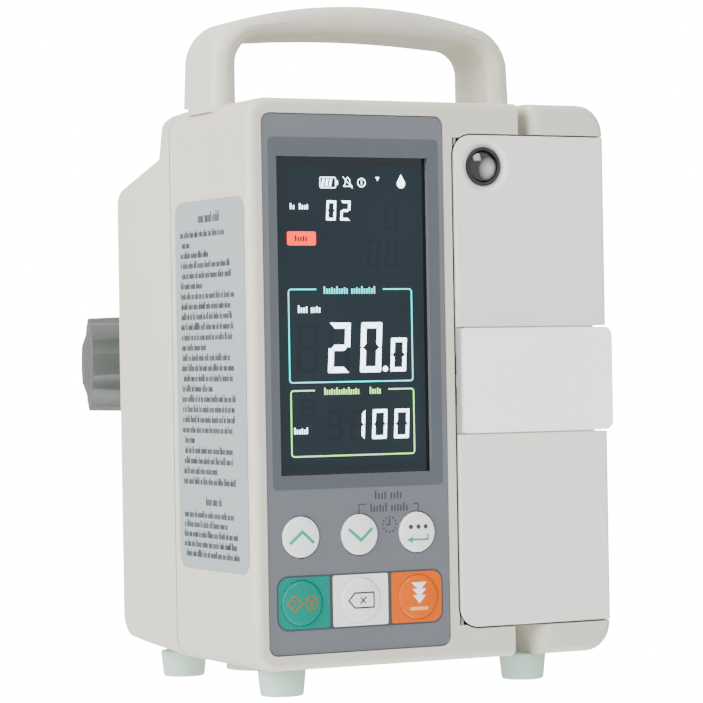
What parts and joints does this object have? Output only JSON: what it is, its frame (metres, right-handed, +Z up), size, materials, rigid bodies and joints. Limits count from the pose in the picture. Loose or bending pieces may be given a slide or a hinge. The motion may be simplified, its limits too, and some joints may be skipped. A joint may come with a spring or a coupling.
{
  "type": "infusion pump",
  "caption": "Volumetric infusion pump with a control panel, a side-hung tube door with a pull lever, a finger mechanism, a carrying handle and a pole clamp.",
  "frame": {"origin": "middle of the bounding box at the surface the feet stand on", "axes": "+Z up, -Y towards the front with the display and the door, +X towards the door side"},
  "size_m": [0.1282, 0.16, 0.2162],
  "materials": {
    "case_plastic": "warm grey-white moulded ABS, fine matt texture",
    "door_plastic": "cooler grey-white moulded ABS, fine matt texture",
    "lever_plastic": "silver-white paint with fine metallic grain",
    "bezel_film": "grey printed film, satin",
    "window": "dark glossy display window",
    "display": "liquid crystal module",
    "board": "green circuit board",
    "silicone": "translucent silicone",
    "key_white": "white key, satin",
    "key_teal": "teal key, satin",
    "key_orange": "orange key, satin",
    "label_film": "light blue-grey printed label",
    "foot_rubber": "pale mint rubber",
    "steel": "bright steel",
    "aluminium": "machined aluminium",
    "mech_plastic": "grey moulded plastic",
    "finger_plastic": "white acetal",
    "dark_plastic": "black moulded plastic",
    "switch_plastic": "green rocker",
    "battery_wrap": "blue shrink wrap",
    "supply": "board with transformer and capacitors",
    "motor_metal": "black motor body",
    "belt_rubber": "black toothed belt",
    "lamp_lens": "smoked lens",
    "clamp_metal": "dark grey powder coat",
    "knob_plastic": "grey moulded plastic",
    "pad_rubber": "black rubber"
  },
  "bodies": {
    "case": {"front_case": "case_plastic", "rear_case": "case_plastic", "handle_back": "case_plastic", "case_screws": "steel", "foot_front_left": "foot_rubber", "foot_front_right": "foot_rubber", "foot_rear_left": "foot_rubber", "foot_rear_right": "foot_rubber", "side_label": "label_film", "bezel_panel": "bezel_film", "display_window": "window", "lcd_module": "display", "display_board": "board", "key_mat": "silicone", "main_board": "board", "power_supply": "supply", "battery_pack": "battery_wrap", "battery_cover": "case_plastic", "speaker": "dark_plastic", "mains_inlet": "dark_plastic", "door_hinge_pins": "steel", "striker": "steel", "pump_base": "mech_plastic", "mech_frame": "aluminium", "cam_bearings": "steel", "stepper_motor": "motor_metal", "drive_belt": "belt_rubber", "bubble_sensor": "dark_plastic", "pressure_sensor": "steel", "clamp_bracket": "clamp_metal", "clamp_bolts": "steel"},
    "door": {"door_shell": "door_plastic", "door_liner": "mech_plastic", "platen_springs": "steel", "lever_pin": "steel", "lamp_ring": "dark_plastic", "lamp_lens": "lamp_lens", "lamp_board": "board"},
    "lever": {"latch_lever": "lever_plastic"},
    "latch": {"latch_slide": "dark_plastic"},
    "platen": {"platen": "aluminium"},
    "up_key": {"key_up": "key_white"},
    "down_key": {"key_down": "key_white"},
    "set_key": {"key_set": "key_white"},
    "start_stop_key": {"key_start_stop": "key_teal"},
    "clear_key": {"key_clear": "key_white"},
    "purge_key": {"key_purge": "key_orange"},
    "rocker": {"power_switch": "switch_plastic"},
    "camshaft": {"camshaft": "steel", "cam_pulley": "aluminium"},
    "motor_rotor": {"motor_pulley": "aluminium"},
    "clamp_shoe": {"clamp_pad": "pad_rubber"},
    "clamp_spindle": {"clamp_screw": "steel", "clamp_knob": "knob_plastic"},
    "finger_body_1": {"finger_1": "finger_plastic"},
    "finger_body_2": {"finger_2": "finger_plastic"},
    "finger_body_3": {"finger_3": "finger_plastic"},
    "finger_body_4": {"finger_4": "finger_plastic"},
    "finger_body_5": {"finger_5": "finger_plastic"},
    "finger_body_6": {"finger_6": "finger_plastic"}
  },
  "joints": [
    {"name": "door_hinge", "type": "hinge", "parent": "case", "child": "door", "pos_m": [0.00815, -0.07793, 0.096], "axis": [0, 0, -1], "range_deg": [0, 90]},
    {"name": "lever_pivot", "type": "hinge", "parent": "door", "child": "lever", "pos_m": [0.01265, -0.07508, 0.0961], "axis": [0, 0, -1], "range_deg": [0, 25], "stiffness_Nm_per_rad": 0.02},
    {"name": "latch_travel", "type": "slide", "parent": "door", "child": "latch", "axis": [1, 0, 0], "range_m": [0, 0.004]},
    {"name": "platen_travel", "type": "slide", "parent": "door", "child": "platen", "axis": [0, -1, 0], "range_m": [0, 0.0012], "stiffness_N_per_m": 300},
    {"name": "up_key_press", "type": "slide", "parent": "case", "child": "up_key", "axis": [0, 1, 0], "range_m": [0, 0.0006], "stiffness_N_per_m": 300},
    {"name": "down_key_press", "type": "slide", "parent": "case", "child": "down_key", "axis": [0, 1, 0], "range_m": [0, 0.0006], "stiffness_N_per_m": 300},
    {"name": "set_key_press", "type": "slide", "parent": "case", "child": "set_key", "axis": [0, 1, 0], "range_m": [0, 0.0006], "stiffness_N_per_m": 300},
    {"name": "start_stop_key_press", "type": "slide", "parent": "case", "child": "start_stop_key", "axis": [0, 1, 0], "range_m": [0, 0.0006], "stiffness_N_per_m": 300},
    {"name": "clear_key_press", "type": "slide", "parent": "case", "child": "clear_key", "axis": [0, 1, 0], "range_m": [0, 0.0006], "stiffness_N_per_m": 300},
    {"name": "purge_key_press", "type": "slide", "parent": "case", "child": "purge_key", "axis": [0, 1, 0], "range_m": [0, 0.0006], "stiffness_N_per_m": 300},
    {"name": "rocker_tilt", "type": "hinge", "parent": "case", "child": "rocker", "pos_m": [0.02015, 0.02192, 0.039], "axis": [1, 0, 0], "range_deg": [0, 20]},
    {"name": "finger_1_travel", "type": "slide", "parent": "case", "child": "finger_body_1", "axis": [0, -1, 0], "range_m": [0, 0.0018], "stiffness_N_per_m": 50},
    {"name": "finger_2_travel", "type": "slide", "parent": "case", "child": "finger_body_2", "axis": [0, -1, 0], "range_m": [0, 0.0018], "stiffness_N_per_m": 50},
    {"name": "finger_3_travel", "type": "slide", "parent": "case", "child": "finger_body_3", "axis": [0, -1, 0], "range_m": [0, 0.0018], "stiffness_N_per_m": 50},
    {"name": "finger_4_travel", "type": "slide", "parent": "case", "child": "finger_body_4", "axis": [0, -1, 0], "range_m": [0, 0.0018], "stiffness_N_per_m": 50},
    {"name": "finger_5_travel", "type": "slide", "parent": "case", "child": "finger_body_5", "axis": [0, -1, 0], "range_m": [0, 0.0018], "stiffness_N_per_m": 50},
    {"name": "finger_6_travel", "type": "slide", "parent": "case", "child": "finger_body_6", "axis": [0, -1, 0], "range_m": [0, 0.0018], "stiffness_N_per_m": 50},
    {"name": "motor_spin", "type": "hinge", "parent": "case", "child": "motor_rotor", "pos_m": [0.03305, 0.00092, 0.12], "axis": [0, 0, 1], "continuous": true},
    {"name": "camshaft_spin", "type": "hinge", "parent": "case", "child": "camshaft", "pos_m": [0.03305, -0.03108, 0.097], "axis": [0, 0, 1], "continuous": true},
    {"name": "clamp_feed", "type": "slide", "parent": "case", "child": "clamp_shoe", "axis": [-0.9511, 0.309, 0], "range_m": [0, 0.012]},
    {"name": "clamp_turn", "type": "hinge", "parent": "clamp_shoe", "child": "clamp_spindle", "pos_m": [-0.00035, 0.04592, 0.1032], "axis": [-0.9511, 0.309, 0], "range_deg": [0, 1080]}
  ],
  "couplings": [
    {"joint": "latch_travel", "follows": "lever_pivot", "m_per_rad": 0.009},
    {"joint": "camshaft_spin", "follows": "motor_spin", "ratio": 0.5},
    {"joint": "clamp_turn", "follows": "clamp_feed", "rad_per_m": 1570.8}
  ]
}
